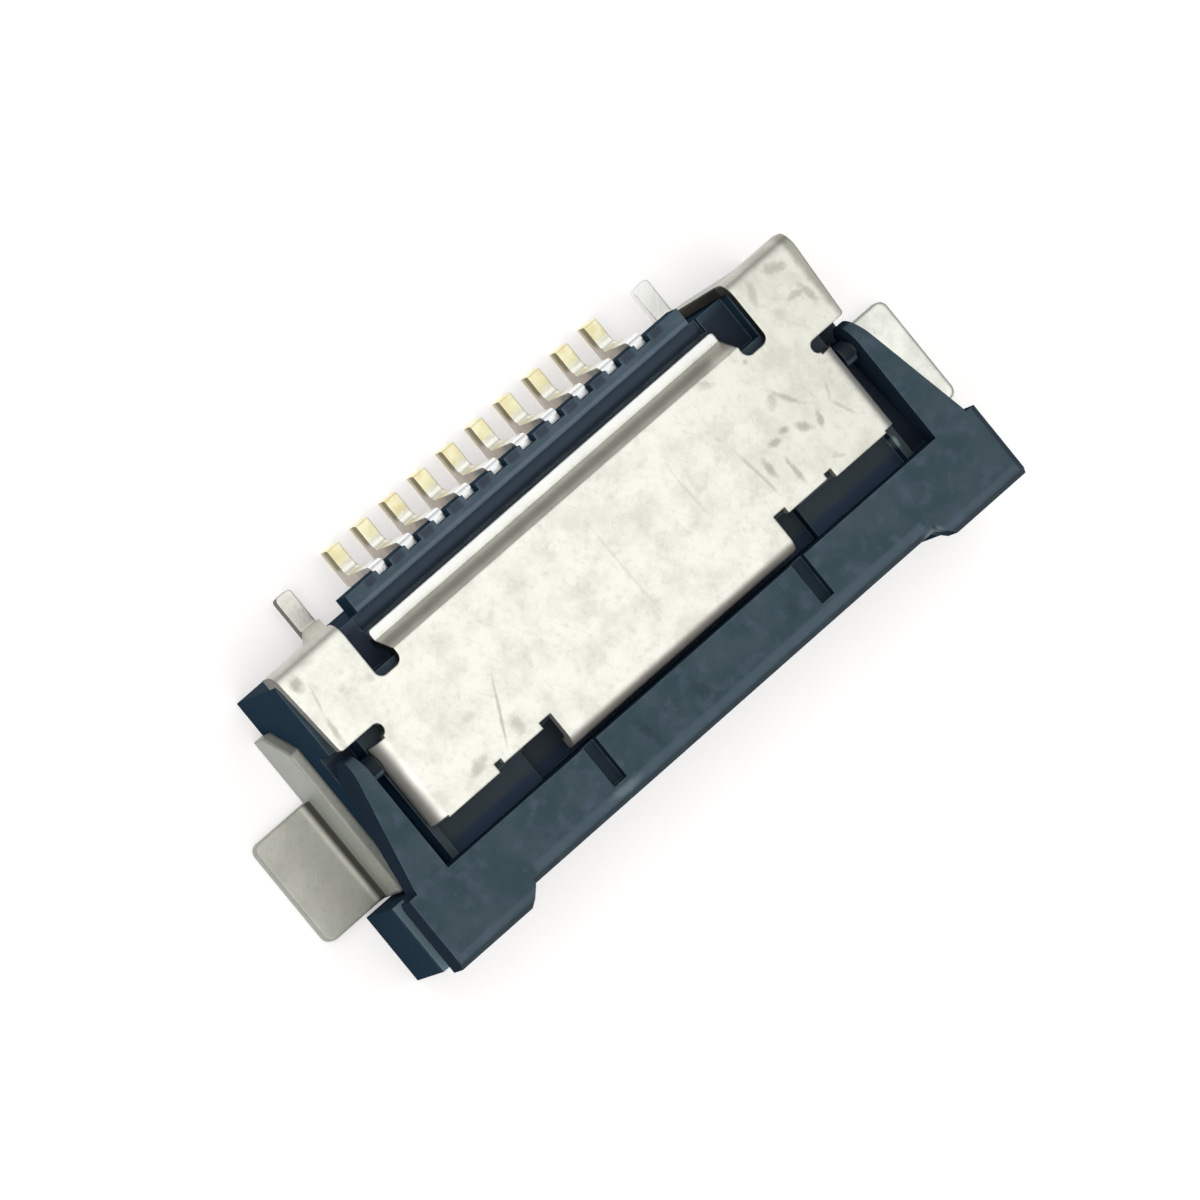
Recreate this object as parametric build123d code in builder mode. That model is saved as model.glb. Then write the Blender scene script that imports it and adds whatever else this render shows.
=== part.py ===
from build123d import *
from math import cos, radians, sin, tan
import os

# Horizontal flexible-cable connector with ten contacts, a flip lock and a shield shell.
# Millimetres. X runs along the contact row, +Y points to the solder feet, +Z is up.
# The origin lies on the board plane, in the middle of the contact row.

os.makedirs("parts", exist_ok=True)

# Sheet metal of the shell and the nails, and the gaps left between neighbours
metal = 0.15
seat_gap = 0.01
slot_clearance = 0.01
overlap = 0.05

# Widths, each measured outward from the contact row
contact_count = 10
pitch = 0.50
contact_width = 0.20
contact_span = (contact_count - 1) * pitch
cable_margin = 0.60
cable_half = contact_span / 2 + cable_margin
throat_step = 0.43
throat_half = cable_half - throat_step
rear_wall_margin = 0.04
rear_wall_half = cable_half + rear_wall_margin
body_margin = 1.59
body_half = cable_half + body_margin
ear_ledge_margin = 0.46
ear_ledge_half = body_half + ear_ledge_margin
ear_ledge_width = 0.18
ear_half = ear_ledge_half - ear_ledge_width
plate_margin = 0.42
plate_half = body_half - plate_margin
neck_notch_depth = 0.27
neck_half = plate_half - neck_notch_depth

# Depths, measured from the lock's pivot (-Y to the cable, +Y to the solder feet)
pivot_y = 0.0
plate_front_y = -1.065
tongue_length = 0.38
tongue_front_y = plate_front_y - tongue_length
bar_gap = 0.075
bar_rear_y = tongue_front_y - bar_gap
bar_depth = 0.88
bar_front_y = bar_rear_y - bar_depth
ear_step = 0.03
ear_rear_y = bar_rear_y - ear_step
side_rear_y = 1.54
rear_wall_thickness = 0.26
rear_wall_y = side_rear_y + rear_wall_thickness
wing_rear_y = side_rear_y + seat_gap + metal

# Heights above the board
shell_top = 1.90
shell_under = shell_top - metal
body_drop = 0.15
body_top = shell_under - body_drop
ear_drop = 0.10
ear_top = body_top - ear_drop
ear_ledge_top = 1.08
pivot_z = 1.62
lobe_radius = 0.33
pocket_gap = 0.09
pocket_floor = pivot_z - lobe_radius - pocket_gap

# Contacts
contact_stock = 0.15
foot_height = 0.26
foot_length = 0.40
riser_step = 0.07
riser_outer_y = rear_wall_y + riser_step
riser_inner_y = riser_outer_y - contact_stock
foot_tip_y = riser_outer_y + foot_length
shoulder_top = 1.20
shoulder_under = shoulder_top - contact_stock
contact_back_gap = 0.14
contact_body_rear_y = side_rear_y - contact_back_gap
contact_body_depth = 0.30
contact_body_front_y = contact_body_rear_y - contact_body_depth
contact_setback = 0.115
contact_tip_y = plate_front_y + contact_setback
slot_floor = 0.25
lower_beam_depth = 0.19
lower_beam_top = slot_floor + lower_beam_depth
cable_floor = 0.60
bump_reach = 0.06
bump_top = cable_floor + bump_reach
bump_rise = 0.15
bump_run = 0.35
upper_beam_setback = 0.10
bend_radius = 0.10
foot_tip_radius = 0.04
slot_front_gap = 0.15
slot_front_y = contact_tip_y - slot_front_gap

# Base housing
ear_face_drop = 0.02
ear_front_y = bar_front_y - ear_face_drop
ear_tip_reach = 0.15
ear_tip_y = ear_front_y - ear_tip_reach
cable_ceiling = shoulder_under - slot_clearance
cavity_gap = 0.05
cavity_rear_y = contact_body_front_y - cavity_gap
roof_setback = 0.065
roof_front_y = plate_front_y + roof_setback
roof_lip_height = 0.21
roof_lip_top = cable_ceiling + roof_lip_height
recess_depth = 0.18
recess_floor = body_top - recess_depth
rib_setback = 0.09
rib_inner = plate_half - rib_setback
rib_width = 0.11
rib_outer = rib_inner + rib_width
shelf_depth = 0.10
shelf_under = shoulder_under - shelf_depth

# Shield shell
arc_inset = 1 - 0.5 ** 0.5
bend_drop = 0.05
wing_front_y = 0.43
wing_notch_length = 0.19
plate_rear_y = wing_front_y - wing_notch_length
slot_end_y = 0.79
notch_corner = 0.09
corner_radius = 0.05
band_margin = 0.15
band_half = cable_half + band_margin
wing_slot_width = 0.39
wing_inner = band_half + wing_slot_width
slot_corner_share = 0.3
slot_corner = slot_corner_share * wing_slot_width
wing_outer_rear = body_half + seat_gap
wing_taper = 0.07
wing_outer_front = wing_outer_rear - wing_taper
wing_bend = 0.22
skirt_height = 0.44
skirt_bottom = shell_top - skirt_height
band_drop = 0.40
band_top = shell_top - band_drop
band_under = band_top - metal
ramp_start_y = 0.98
ramp_length = 0.175
band_front_y = ramp_start_y + ramp_length
band_setback = 0.24
band_rear_y = side_rear_y - band_setback
tongue_step = 0.47
tongue_half = throat_half - tongue_step
tongue_notch_width = 0.20
tongue_notch_half = tongue_half + tongue_notch_width
tongue_notch_depth = 0.145
tongue_notch_y = plate_front_y + tongue_notch_depth
tongue_bend = 0.20
tongue_lip = 0.30
tongue_drop = shell_top - tongue_lip
small_notch_width = 0.12
small_notch_offset = 0.465
small_notch_x = throat_half + small_notch_offset
small_notch_depth = 0.13
small_notch_y = plate_front_y + small_notch_depth
front_setback = 0.055
lip_height = 0.25
lip_bottom = shell_top - lip_height
lip_setback = 0.03
lip_rear_y = plate_rear_y - lip_setback
lip_front_y = plate_front_y + lip_setback
leg_top_width = 0.39
leg_top_outer = wing_inner + leg_top_width
ground_foot_offset = 0.265
ground_foot_x = wing_inner - ground_foot_offset
ground_foot_w = 0.25
ground_foot_length = 0.52
ground_foot_tip_y = wing_rear_y + ground_foot_length
ground_foot_radius = 0.06
outer_knee = 0.20
inner_knee = 0.30

# Deck under the rear band and the shoulders under the wings
deck_top = band_under
edge_gap = 0.03
deck_half = wing_inner + edge_gap
deck_setback = 0.10
deck_front_y = ramp_start_y - deck_setback
trough_width = 0.22
trough_depth = 0.08
trough_y = band_rear_y + trough_width / 2 + edge_gap
shoulder_setback = 0.06
shoulder_inner = deck_half + shoulder_setback
shoulder_outer = wing_outer_front - edge_gap
shoulder_front_y = wing_front_y + shoulder_setback
shoulder_rear_y = side_rear_y - shoulder_setback

# Flip lock (actuator) and its bearings
trunnion_radius = 0.10
trunnion_clearance = 0.02
trunnion_reach = 0.11
trunnion_end_gap = 0.03
bearing_gap = 0.03
bearing_width = 0.17
bearing_wall = 0.04
bearing_inner = plate_half + bearing_gap
bearing_outer = bearing_inner + bearing_width
bearing_radius = trunnion_radius + trunnion_clearance + bearing_wall
bearing_depth = trunnion_reach + trunnion_end_gap
trunnion_end = bearing_outer - trunnion_reach
arm_gap = 0.05
arm_width = 0.13
arm_inner = bearing_outer + arm_gap
arm_outer_rear = arm_inner + arm_width
bar_top = pivot_z + lobe_radius
bar_seat_gap = 0.02
bar_under = ear_top + bar_seat_gap
bar_overhang = 0.04
bar_half = ear_ledge_half + bar_overhang
arm_setback = 0.14
arm_outer_front = bar_half - arm_setback
arm_flare_end = 0.06
arm_front_y = bar_rear_y + arm_flare_end
arm_slope = radians(11.4)
bar_edge = 0.08
bar_ear_width = 1.42
bar_ear_inner = bar_half - bar_ear_width
bar_ear_reach = 0.21
bar_ear_front_y = bar_front_y - bar_ear_reach
ear_tip_inner = bar_ear_inner + bar_ear_reach + bar_seat_gap
boss_margin = 0.10
boss_half = cable_half - boss_margin
boss_front_inset = 0.10
boss_front_y = bar_front_y + boss_front_inset
boss_rear_inset = 0.18
boss_rear_y = bar_rear_y - boss_rear_inset
boss_height = 0.52
boss_under = bar_under - boss_height
groove_width = 0.22
groove_offset = 0.13
groove_x = tongue_half - groove_offset
groove_inset = 0.26
groove_front_y = bar_front_y + groove_inset
groove_depth = 0.14

# Hold-down nails
pocket_rear_gap = 0.13
pocket_rear_y = pivot_y + lobe_radius + pocket_rear_gap
nail_top = 0.80
nail_gap = 0.05
nail_front_y = ear_rear_y + nail_gap
nail_length = 2.53
nail_rear_y = nail_front_y + nail_length
nail_slant_length = 0.33
nail_slant_height = 0.47
nail_outer = body_half + metal
nail_bend = 0.15
tab_reach = 0.94
tab_outer = nail_outer + tab_reach
tab_front_y = nail_front_y + seat_gap
tab_length = 1.55
tab_rear_y = tab_front_y + tab_length
tab_radius = 0.12

# Base housing: main body, ears, rear shelf, then the cable slot and the pockets
with BuildPart() as base_housing:
    with BuildSketch(Plane.XY):
        with Locations((0, (side_rear_y + ear_rear_y) / 2)):
            Rectangle(2 * body_half, side_rear_y - ear_rear_y)
    extrude(amount=body_top)
    with BuildSketch(Plane.XY):
        with Locations((0, (ear_front_y + ear_rear_y) / 2)):
            Rectangle(2 * ear_half, ear_rear_y - ear_front_y)
    extrude(amount=ear_top)
    with BuildSketch(Plane.XY):
        with Locations((0, (ear_front_y + ear_rear_y) / 2)):
            Rectangle(2 * ear_ledge_half, ear_rear_y - ear_front_y)
    extrude(amount=ear_ledge_top)
    # Both ears stand a little further forward at their outer ends
    with BuildSketch(Plane.XY):
        for side in (-1, 1):
            with Locations((side * (ear_tip_inner + ear_half) / 2, (ear_tip_y + ear_front_y) / 2)):
                Rectangle(ear_half - ear_tip_inner, ear_front_y - ear_tip_y)
    extrude(amount=ear_top)
    with BuildSketch(Plane.XY):
        for side in (-1, 1):
            with Locations((side * (ear_tip_inner + ear_ledge_half) / 2,
                            (ear_tip_y + ear_front_y) / 2)):
                Rectangle(ear_ledge_half - ear_tip_inner, ear_front_y - ear_tip_y)
    extrude(amount=ear_ledge_top)
    # Rear shelf that overhangs the board and guides the contacts
    with BuildSketch(Plane.XY.offset(shelf_under)):
        with Locations((0, (rear_wall_y + side_rear_y) / 2)):
            Rectangle(2 * rear_wall_half, rear_wall_y - side_rear_y)
    extrude(amount=deck_top - shelf_under)
    # Lower deck under the rear band of the shell
    with BuildSketch(Plane.XY.offset(deck_top)):
        with Locations((0, (deck_front_y + side_rear_y) / 2)):
            Rectangle(2 * deck_half, side_rear_y - deck_front_y)
    extrude(amount=body_top - deck_top, mode=Mode.SUBTRACT)
    # Shoulders that carry the wings of the shell
    with BuildSketch(Plane.XY.offset(body_top)):
        for side in (-1, 1):
            with Locations((side * (shoulder_inner + shoulder_outer) / 2,
                            (shoulder_front_y + shoulder_rear_y) / 2)):
                Rectangle(shoulder_outer - shoulder_inner, shoulder_rear_y - shoulder_front_y)
    extrude(amount=shell_under - body_top)
    # Shallow trough along the rear deck, behind the band
    with BuildSketch(Plane.XY.offset(deck_top - trough_depth)):
        with Locations((0, trough_y)):
            Rectangle(2 * band_half, trough_width)
    extrude(amount=trough_depth, mode=Mode.SUBTRACT)
    # Cable space: open above under the lock bar, then a roofed slot with a notch over its lip
    with BuildSketch(Plane.XY.offset(cable_floor)):
        with Locations((0, (ear_front_y + ear_rear_y) / 2)):
            Rectangle(2 * cable_half, ear_rear_y - ear_front_y)
    extrude(amount=body_top, mode=Mode.SUBTRACT)
    with BuildSketch(Plane.XY.offset(cable_floor)):
        with Locations((0, (ear_rear_y + cavity_rear_y) / 2)):
            Rectangle(2 * cable_half, cavity_rear_y - ear_rear_y)
    extrude(amount=cable_ceiling - cable_floor, mode=Mode.SUBTRACT)
    with BuildSketch(Plane.XY.offset(roof_lip_top)):
        with Locations((0, (ear_rear_y + roof_front_y) / 2)):
            Rectangle(2 * throat_half, roof_front_y - ear_rear_y)
    extrude(amount=body_top, mode=Mode.SUBTRACT)
    # Lower recess floor between the shell and the lock bar
    with BuildSketch(Plane.XY.offset(recess_floor)):
        with Locations((0, (ear_rear_y + plate_front_y) / 2)):
            Rectangle(2 * rib_inner, plate_front_y - ear_rear_y)
    extrude(amount=body_top, mode=Mode.SUBTRACT)
    # Side pockets in which the arms of the lock swing
    with BuildSketch(Plane.XY.offset(pocket_floor)):
        for side in (-1, 1):
            with Locations((side * (rib_outer + body_half) / 2, (ear_rear_y + pocket_rear_y) / 2)):
                Rectangle(body_half - rib_outer, pocket_rear_y - ear_rear_y)
    extrude(amount=body_top, mode=Mode.SUBTRACT)
    # Bearing eyes beside the plate, with blind holes for the trunnions
    for side in (-1, 1):
        with BuildSketch(Plane(origin=(side * bearing_inner, pivot_y, 0),
                               x_dir=(0, side, 0), z_dir=(side, 0, 0))):
            with Locations((0, (pocket_floor + pivot_z) / 2)):
                Rectangle(2 * bearing_radius, pivot_z - pocket_floor)
            with Locations((0, pivot_z)):
                Circle(bearing_radius)
        extrude(amount=bearing_outer - bearing_inner)
        with BuildSketch(Plane(origin=(side * rib_inner, pivot_y, 0),
                               x_dir=(0, side, 0), z_dir=(side, 0, 0))):
            with Locations((0, (pocket_floor + body_top) / 2)):
                Rectangle(2 * bearing_radius, body_top - pocket_floor)
        extrude(amount=bearing_outer - rib_inner)
    for side in (-1, 1):
        with Locations(Plane(origin=(side * bearing_outer, pivot_y, pivot_z),
                             x_dir=(0, 1, 0), z_dir=(side, 0, 0))):
            Hole(radius=trunnion_radius + trunnion_clearance, depth=bearing_depth)
    # Slots for the contacts
    with BuildSketch(Plane.XY.offset(slot_floor)):
        with GridLocations(pitch, 1, contact_count, 1):
            with Locations((0, (contact_body_rear_y + slot_clearance + slot_front_y) / 2)):
                Rectangle(contact_width + 2 * slot_clearance,
                          contact_body_rear_y + slot_clearance - slot_front_y)
    extrude(amount=shoulder_top + slot_clearance - slot_floor, mode=Mode.SUBTRACT)
    with BuildSketch(Plane.XY.offset(cable_ceiling)):
        with GridLocations(pitch, 1, contact_count, 1):
            with Locations((0, (contact_body_rear_y + rear_wall_y) / 2)):
                Rectangle(contact_width + 2 * slot_clearance, rear_wall_y - contact_body_rear_y)
    extrude(amount=shoulder_top + slot_clearance - cable_ceiling, mode=Mode.SUBTRACT)
    with BuildSketch(Plane.XY):
        with GridLocations(pitch, 1, contact_count, 1):
            with Locations((0, (riser_inner_y - slot_clearance + rear_wall_y) / 2)):
                Rectangle(contact_width + 2 * slot_clearance,
                          rear_wall_y - riser_inner_y + slot_clearance)
    extrude(amount=deck_top, mode=Mode.SUBTRACT)

base_housing.part.label = "base_housing"
export_step(base_housing.part, "parts/base_housing.step")

# Contacts: gull-wing foot, riser and a fork that grips the cable
for index in range(contact_count):
    contact_x = (index - (contact_count - 1) / 2) * pitch
    with BuildPart() as contact:
        with BuildSketch(Plane.YZ.offset(contact_x)):
            with BuildLine():
                Polyline(
                    (foot_tip_y, 0),
                    (riser_inner_y, 0),
                    (riser_inner_y, shoulder_under),
                    (contact_body_rear_y, shoulder_under),
                    (contact_body_rear_y, slot_floor),
                    (contact_tip_y, slot_floor),
                    (contact_tip_y, lower_beam_top),
                    (contact_tip_y + bump_rise, bump_top),
                    (contact_tip_y + bump_run, lower_beam_top),
                    (contact_body_front_y, lower_beam_top),
                    (contact_body_front_y, shoulder_under),
                    (contact_tip_y + upper_beam_setback, shoulder_under),
                    (contact_tip_y + upper_beam_setback, shoulder_top),
                    (riser_outer_y, shoulder_top),
                    (riser_outer_y, foot_height),
                    (foot_tip_y, foot_height),
                    close=True,
                )
            make_face()
        extrude(amount=contact_width / 2, both=True)
        outer_bends = contact.edges().filter_by(Axis.X).filter_by(
            lambda e: abs(e.center().Y - riser_outer_y) < 0.01)
        fillet(outer_bends, radius=bend_radius)
        heel = contact.edges().filter_by(Axis.X).filter_by(
            lambda e: abs(e.center().Y - riser_inner_y) < 0.01 and e.center().Z < 0.01)
        fillet(heel, radius=bend_radius)
        tip = contact.edges().filter_by(Axis.X).filter_by(
            lambda e: e.center().Y > foot_tip_y - 0.01 and e.center().Z > 0.1)
        fillet(tip, radius=foot_tip_radius)
    name = "contact_%02d" % (index + 1)
    contact.part.label = name
    export_step(contact.part, "parts/" + name + ".step")

# Shield shell: flat plate with wings, then the bent edges, the joggled rear band and the legs
with BuildPart() as shell:
    with BuildSketch(Plane.XY.offset(shell_under)) as plate_outline:
        with Locations((0, (plate_front_y + plate_rear_y) / 2)):
            Rectangle(2 * plate_half, plate_rear_y - plate_front_y)
        with Locations((0, (plate_rear_y + slot_end_y) / 2)):
            Rectangle(2 * neck_half, slot_end_y - plate_rear_y)
        with Locations((0, (slot_end_y + ramp_start_y) / 2)):
            Rectangle(2 * band_half, ramp_start_y - slot_end_y)
        for side in (-1, 1):
            with BuildLine():
                Polyline(
                    (side * wing_inner, wing_front_y),
                    (side * wing_outer_front, wing_front_y),
                    (side * wing_outer_rear, wing_rear_y - wing_bend),
                    (side * wing_inner, wing_rear_y - wing_bend),
                    close=True,
                )
            make_face()
        # Rounded ends of the slots beside the band and of the notches in front of the wings
        slot_corners = plate_outline.vertices().filter_by(
            lambda v: abs(v.Y - slot_end_y) < 0.01)
        fillet(slot_corners, radius=slot_corner)
        notch_corners = plate_outline.vertices().filter_by(
            lambda v: abs(abs(v.X) - neck_half) < 0.01)
        fillet(notch_corners, radius=notch_corner)
        wing_corners = plate_outline.vertices().filter_by(
            lambda v: abs(abs(v.X) - wing_outer_front) < 0.01)
        fillet(wing_corners, radius=corner_radius)
        # The sides are rolled down further on, the front edge is stepped and notched
        for side in (-1, 1):
            with Locations((side * (plate_half - tongue_bend / 2), (plate_front_y + plate_rear_y) / 2)):
                Rectangle(tongue_bend, plate_rear_y - plate_front_y, mode=Mode.SUBTRACT)
            with Locations((side * (tongue_half + small_notch_x) / 2, plate_front_y)):
                Rectangle(small_notch_x - tongue_half, 2 * front_setback, mode=Mode.SUBTRACT)
            with Locations((side * (tongue_half + tongue_notch_half) / 2,
                            (tongue_notch_y + plate_front_y) / 2)):
                Rectangle(tongue_notch_width, tongue_notch_depth, mode=Mode.SUBTRACT)
            with Locations((side * small_notch_x, (small_notch_y + plate_front_y) / 2)):
                Rectangle(small_notch_width, small_notch_depth, mode=Mode.SUBTRACT)
        with Locations((0, (tongue_front_y + tongue_bend + plate_front_y) / 2)):
            Rectangle(2 * tongue_half, plate_front_y - tongue_front_y - tongue_bend)
    extrude(amount=metal)
    # Plate sides and tongue front are rolled down
    with BuildSketch(Plane.XZ.offset(-lip_rear_y)):
        for side in (-1, 1):
            with BuildLine():
                mid_x = side * (plate_half - tongue_bend)
                Line((mid_x, shell_top), (mid_x, shell_under))
                Line((mid_x, shell_under), (side * (plate_half - metal), shell_under - bend_drop))
                Line((side * (plate_half - metal), shell_under - bend_drop),
                     (side * (plate_half - metal), lip_bottom))
                Line((side * (plate_half - metal), lip_bottom), (side * plate_half, lip_bottom))
                Line((side * plate_half, lip_bottom), (side * plate_half, shell_top - tongue_bend))
                ThreePointArc(
                    (side * plate_half, shell_top - tongue_bend),
                    (side * (plate_half - tongue_bend * arc_inset), shell_top - tongue_bend * arc_inset),
                    (mid_x, shell_top))
            make_face()
    extrude(amount=lip_rear_y - lip_front_y)
    with BuildSketch(Plane.YZ):
        with BuildLine():
            bend_y = tongue_front_y + tongue_bend
            Line((bend_y, shell_top), (bend_y, shell_under))
            Line((bend_y, shell_under), (tongue_front_y + metal, shell_under - bend_drop))
            Line((tongue_front_y + metal, shell_under - bend_drop), (tongue_front_y + metal, tongue_drop))
            Line((tongue_front_y + metal, tongue_drop), (tongue_front_y, tongue_drop))
            Line((tongue_front_y, tongue_drop), (tongue_front_y, shell_top - tongue_bend))
            ThreePointArc(
                (tongue_front_y, shell_top - tongue_bend),
                (tongue_front_y + tongue_bend * arc_inset, shell_top - tongue_bend * arc_inset),
                (bend_y, shell_top))
        make_face()
    extrude(amount=tongue_half, both=True)
    # Wings are rolled down at the rear into a short skirt
    with BuildSketch(Plane.YZ):
        with BuildLine():
            wing_y = wing_rear_y - wing_bend
            Line((wing_y, shell_top), (wing_y, shell_under))
            Line((wing_y, shell_under), (wing_rear_y - metal, shell_under - bend_drop))
            Line((wing_rear_y - metal, shell_under - bend_drop), (wing_rear_y - metal, skirt_bottom))
            Line((wing_rear_y - metal, skirt_bottom), (wing_rear_y, skirt_bottom))
            Line((wing_rear_y, skirt_bottom), (wing_rear_y, shell_top - wing_bend))
            ThreePointArc(
                (wing_rear_y, shell_top - wing_bend),
                (wing_rear_y - wing_bend * arc_inset, shell_top - wing_bend * arc_inset),
                (wing_y, shell_top))
        make_face()
    extrude(amount=wing_outer_rear, both=True)
    with BuildSketch(Plane.XY.offset(skirt_bottom)):
        with Locations((0, wing_rear_y - wing_bend / 2)):
            Rectangle(2 * wing_inner, wing_bend)
    extrude(amount=shell_top - skirt_bottom, mode=Mode.SUBTRACT)
    # Joggled rear band
    with BuildSketch(Plane.YZ):
        with BuildLine():
            Polyline(
                (ramp_start_y - bend_drop, shell_top),
                (ramp_start_y, shell_top),
                (band_front_y, band_top),
                (band_rear_y, band_top),
                (band_rear_y, band_under),
                (band_front_y - bend_drop, band_under),
                (ramp_start_y - bend_drop, shell_under),
                close=True,
            )
        make_face()
    extrude(amount=band_half, both=True)
    band_corners = shell.edges().filter_by(Axis.Z).filter_by(
        lambda e: abs(e.center().Y - band_rear_y) < 0.01)
    fillet(band_corners, radius=corner_radius)
    # Tapered legs that end in the ground feet
    with BuildSketch(Plane.XZ.offset(-wing_rear_y)):
        for side in (-1, 1):
            with BuildLine():
                Polyline(
                    (side * wing_inner, skirt_bottom + bend_drop),
                    (side * leg_top_outer, skirt_bottom + bend_drop),
                    (side * (ground_foot_x + ground_foot_w / 2), outer_knee),
                    (side * (ground_foot_x + ground_foot_w / 2), 0),
                    (side * (ground_foot_x - ground_foot_w / 2), 0),
                    (side * (ground_foot_x - ground_foot_w / 2), inner_knee),
                    close=True,
                )
            make_face()
    extrude(amount=metal)
    with BuildSketch(Plane.XY):
        for side in (-1, 1):
            with Locations((side * ground_foot_x, (wing_rear_y + ground_foot_tip_y) / 2)):
                Rectangle(ground_foot_w, ground_foot_tip_y - wing_rear_y)
    extrude(amount=metal)
    tip_corners = shell.edges().filter_by(Axis.Z).filter_by(
        lambda e: e.center().Y > ground_foot_tip_y - 0.01)
    fillet(tip_corners, radius=ground_foot_radius)

shell.part.label = "shell"
export_step(shell.part, "parts/shell.step")

# Flip lock: arms with trunnions, then the bar and its pressing boss
heel_y = pivot_y - lobe_radius * sin(arm_slope)
heel_z = pivot_z - lobe_radius * cos(arm_slope)
arm_end_y = bar_rear_y - overlap
arm_rear_y = pivot_y + lobe_radius
with BuildPart() as actuator:
    with BuildSketch(Plane.YZ):
        with BuildLine():
            Polyline(
                (arm_end_y, bar_top),
                (pivot_y, bar_top),
                (pivot_y, pivot_z),
                (heel_y, heel_z),
                (arm_end_y, heel_z + (heel_y - arm_end_y) * tan(arm_slope)),
                close=True,
            )
        make_face()
        with Locations((pivot_y, pivot_z)):
            Circle(lobe_radius)
    extrude(amount=bar_half, both=True)
    with BuildSketch(Plane.XY):
        with Locations((0, (arm_end_y + arm_rear_y) / 2)):
            Rectangle(2 * arm_inner, arm_rear_y - arm_end_y)
        for side in (-1, 1):
            with BuildLine():
                Polyline(
                    (side * arm_outer_rear, arm_rear_y),
                    (side * arm_outer_front, arm_front_y),
                    (side * arm_outer_front, arm_end_y),
                    (side * bar_half, arm_end_y),
                    (side * bar_half, arm_rear_y),
                    close=True,
                )
            make_face()
    extrude(amount=bar_top, mode=Mode.SUBTRACT)
    for side in (-1, 1):
        with BuildSketch(Plane(origin=(side * (arm_inner + overlap), pivot_y, pivot_z),
                               x_dir=(0, 1, 0), z_dir=(-side, 0, 0))):
            Circle(trunnion_radius)
        extrude(amount=arm_inner + overlap - trunnion_end)
    with BuildSketch(Plane.YZ):
        with BuildLine():
            Polyline(
                (bar_rear_y, bar_top),
                (bar_front_y + bar_edge, bar_top),
                (bar_front_y, bar_top - bar_edge),
                (bar_front_y, bar_under),
                (bar_rear_y - bar_edge, bar_under),
                (bar_rear_y, bar_under + bar_edge),
                close=True,
            )
        make_face()
    extrude(amount=bar_half, both=True)
    # The bar's ends reach further forward, with a slanted step where they start
    for side in (-1, 1):
        with BuildSketch(Plane(origin=(side * bar_ear_inner, 0, 0),
                               x_dir=(0, side, 0), z_dir=(side, 0, 0))):
            with BuildLine():
                Polyline(
                    (side * (bar_front_y + bar_edge + overlap), bar_top),
                    (side * (bar_ear_front_y + bar_edge), bar_top),
                    (side * bar_ear_front_y, bar_top - bar_edge),
                    (side * bar_ear_front_y, bar_under),
                    (side * (bar_front_y + bar_edge + overlap), bar_under),
                    close=True,
                )
            make_face()
        extrude(amount=bar_half - bar_ear_inner)
    with BuildSketch(Plane.XY.offset(bar_under)):
        for side in (-1, 1):
            with BuildLine():
                Polyline(
                    (side * bar_ear_inner, bar_front_y),
                    (side * (bar_ear_inner + bar_ear_reach), bar_ear_front_y),
                    (side * bar_ear_inner, bar_ear_front_y),
                    close=True,
                )
            make_face()
    extrude(amount=bar_top - bar_under, mode=Mode.SUBTRACT)
    with BuildSketch(Plane.XY.offset(boss_under)):
        with Locations((0, (boss_front_y + boss_rear_y) / 2)):
            Rectangle(2 * boss_half, boss_rear_y - boss_front_y)
    extrude(amount=bar_under - boss_under + overlap)
    with BuildSketch(Plane.XY.offset(bar_top - groove_depth)):
        for side in (-1, 1):
            with Locations((side * groove_x, (groove_front_y + bar_rear_y) / 2)):
                Rectangle(groove_width, bar_rear_y - groove_front_y)
    extrude(amount=groove_depth, mode=Mode.SUBTRACT)

actuator.part.label = "actuator"
export_step(actuator.part, "parts/actuator.step")

# Hold-down nails: plate against the side of the body, tab turned outward on the board
for side, name in ((-1, "left_nail"), (1, "right_nail")):
    with BuildPart() as nail:
        with BuildSketch(Plane.YZ.offset(side * body_half)):
            with BuildLine():
                Polyline(
                    (nail_front_y, 0),
                    (nail_rear_y, 0),
                    (nail_rear_y, nail_top - nail_slant_height),
                    (nail_rear_y - nail_slant_length, nail_top),
                    (nail_front_y, nail_top),
                    close=True,
                )
            make_face()
        extrude(amount=side * metal)
        with BuildSketch(Plane.XY):
            with Locations((side * (body_half + tab_outer) / 2, (tab_front_y + tab_rear_y) / 2)):
                Rectangle(tab_outer - body_half, tab_rear_y - tab_front_y)
        extrude(amount=metal)
        inner_bend = nail.edges().filter_by(Axis.Y).filter_by(
            lambda e: abs(abs(e.center().X) - nail_outer) < 0.01 and abs(e.center().Z - metal) < 0.01)
        fillet(inner_bend, radius=nail_bend)
        tab_corners = nail.edges().filter_by(Axis.Z).filter_by(
            lambda e: abs(e.center().X) > tab_outer - 0.01)
        fillet(tab_corners, radius=tab_radius)
    nail.part.label = name
    export_step(nail.part, "parts/" + name + ".step")
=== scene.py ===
from math import cos, pi, radians, sin

import bpy
from mathutils import Matrix, Vector

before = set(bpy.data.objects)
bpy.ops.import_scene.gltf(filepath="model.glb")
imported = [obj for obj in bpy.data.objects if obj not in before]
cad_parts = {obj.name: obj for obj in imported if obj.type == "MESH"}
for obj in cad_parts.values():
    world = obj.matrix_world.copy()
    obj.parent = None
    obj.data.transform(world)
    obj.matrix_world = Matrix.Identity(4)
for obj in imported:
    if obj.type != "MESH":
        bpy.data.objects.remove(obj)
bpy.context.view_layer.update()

MM = 0.001


# Camera: the photograph's view, from the left end and a little from the rear
view_azimuth = radians(160.99)
view_elevation = radians(70.47)
view_roll = radians(68.82)
view_distance = 200 * MM
aim_right = 0.3945 * MM
aim_up = -0.2965 * MM
sensor_width = 36.0
lens_length = 477.6


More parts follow.
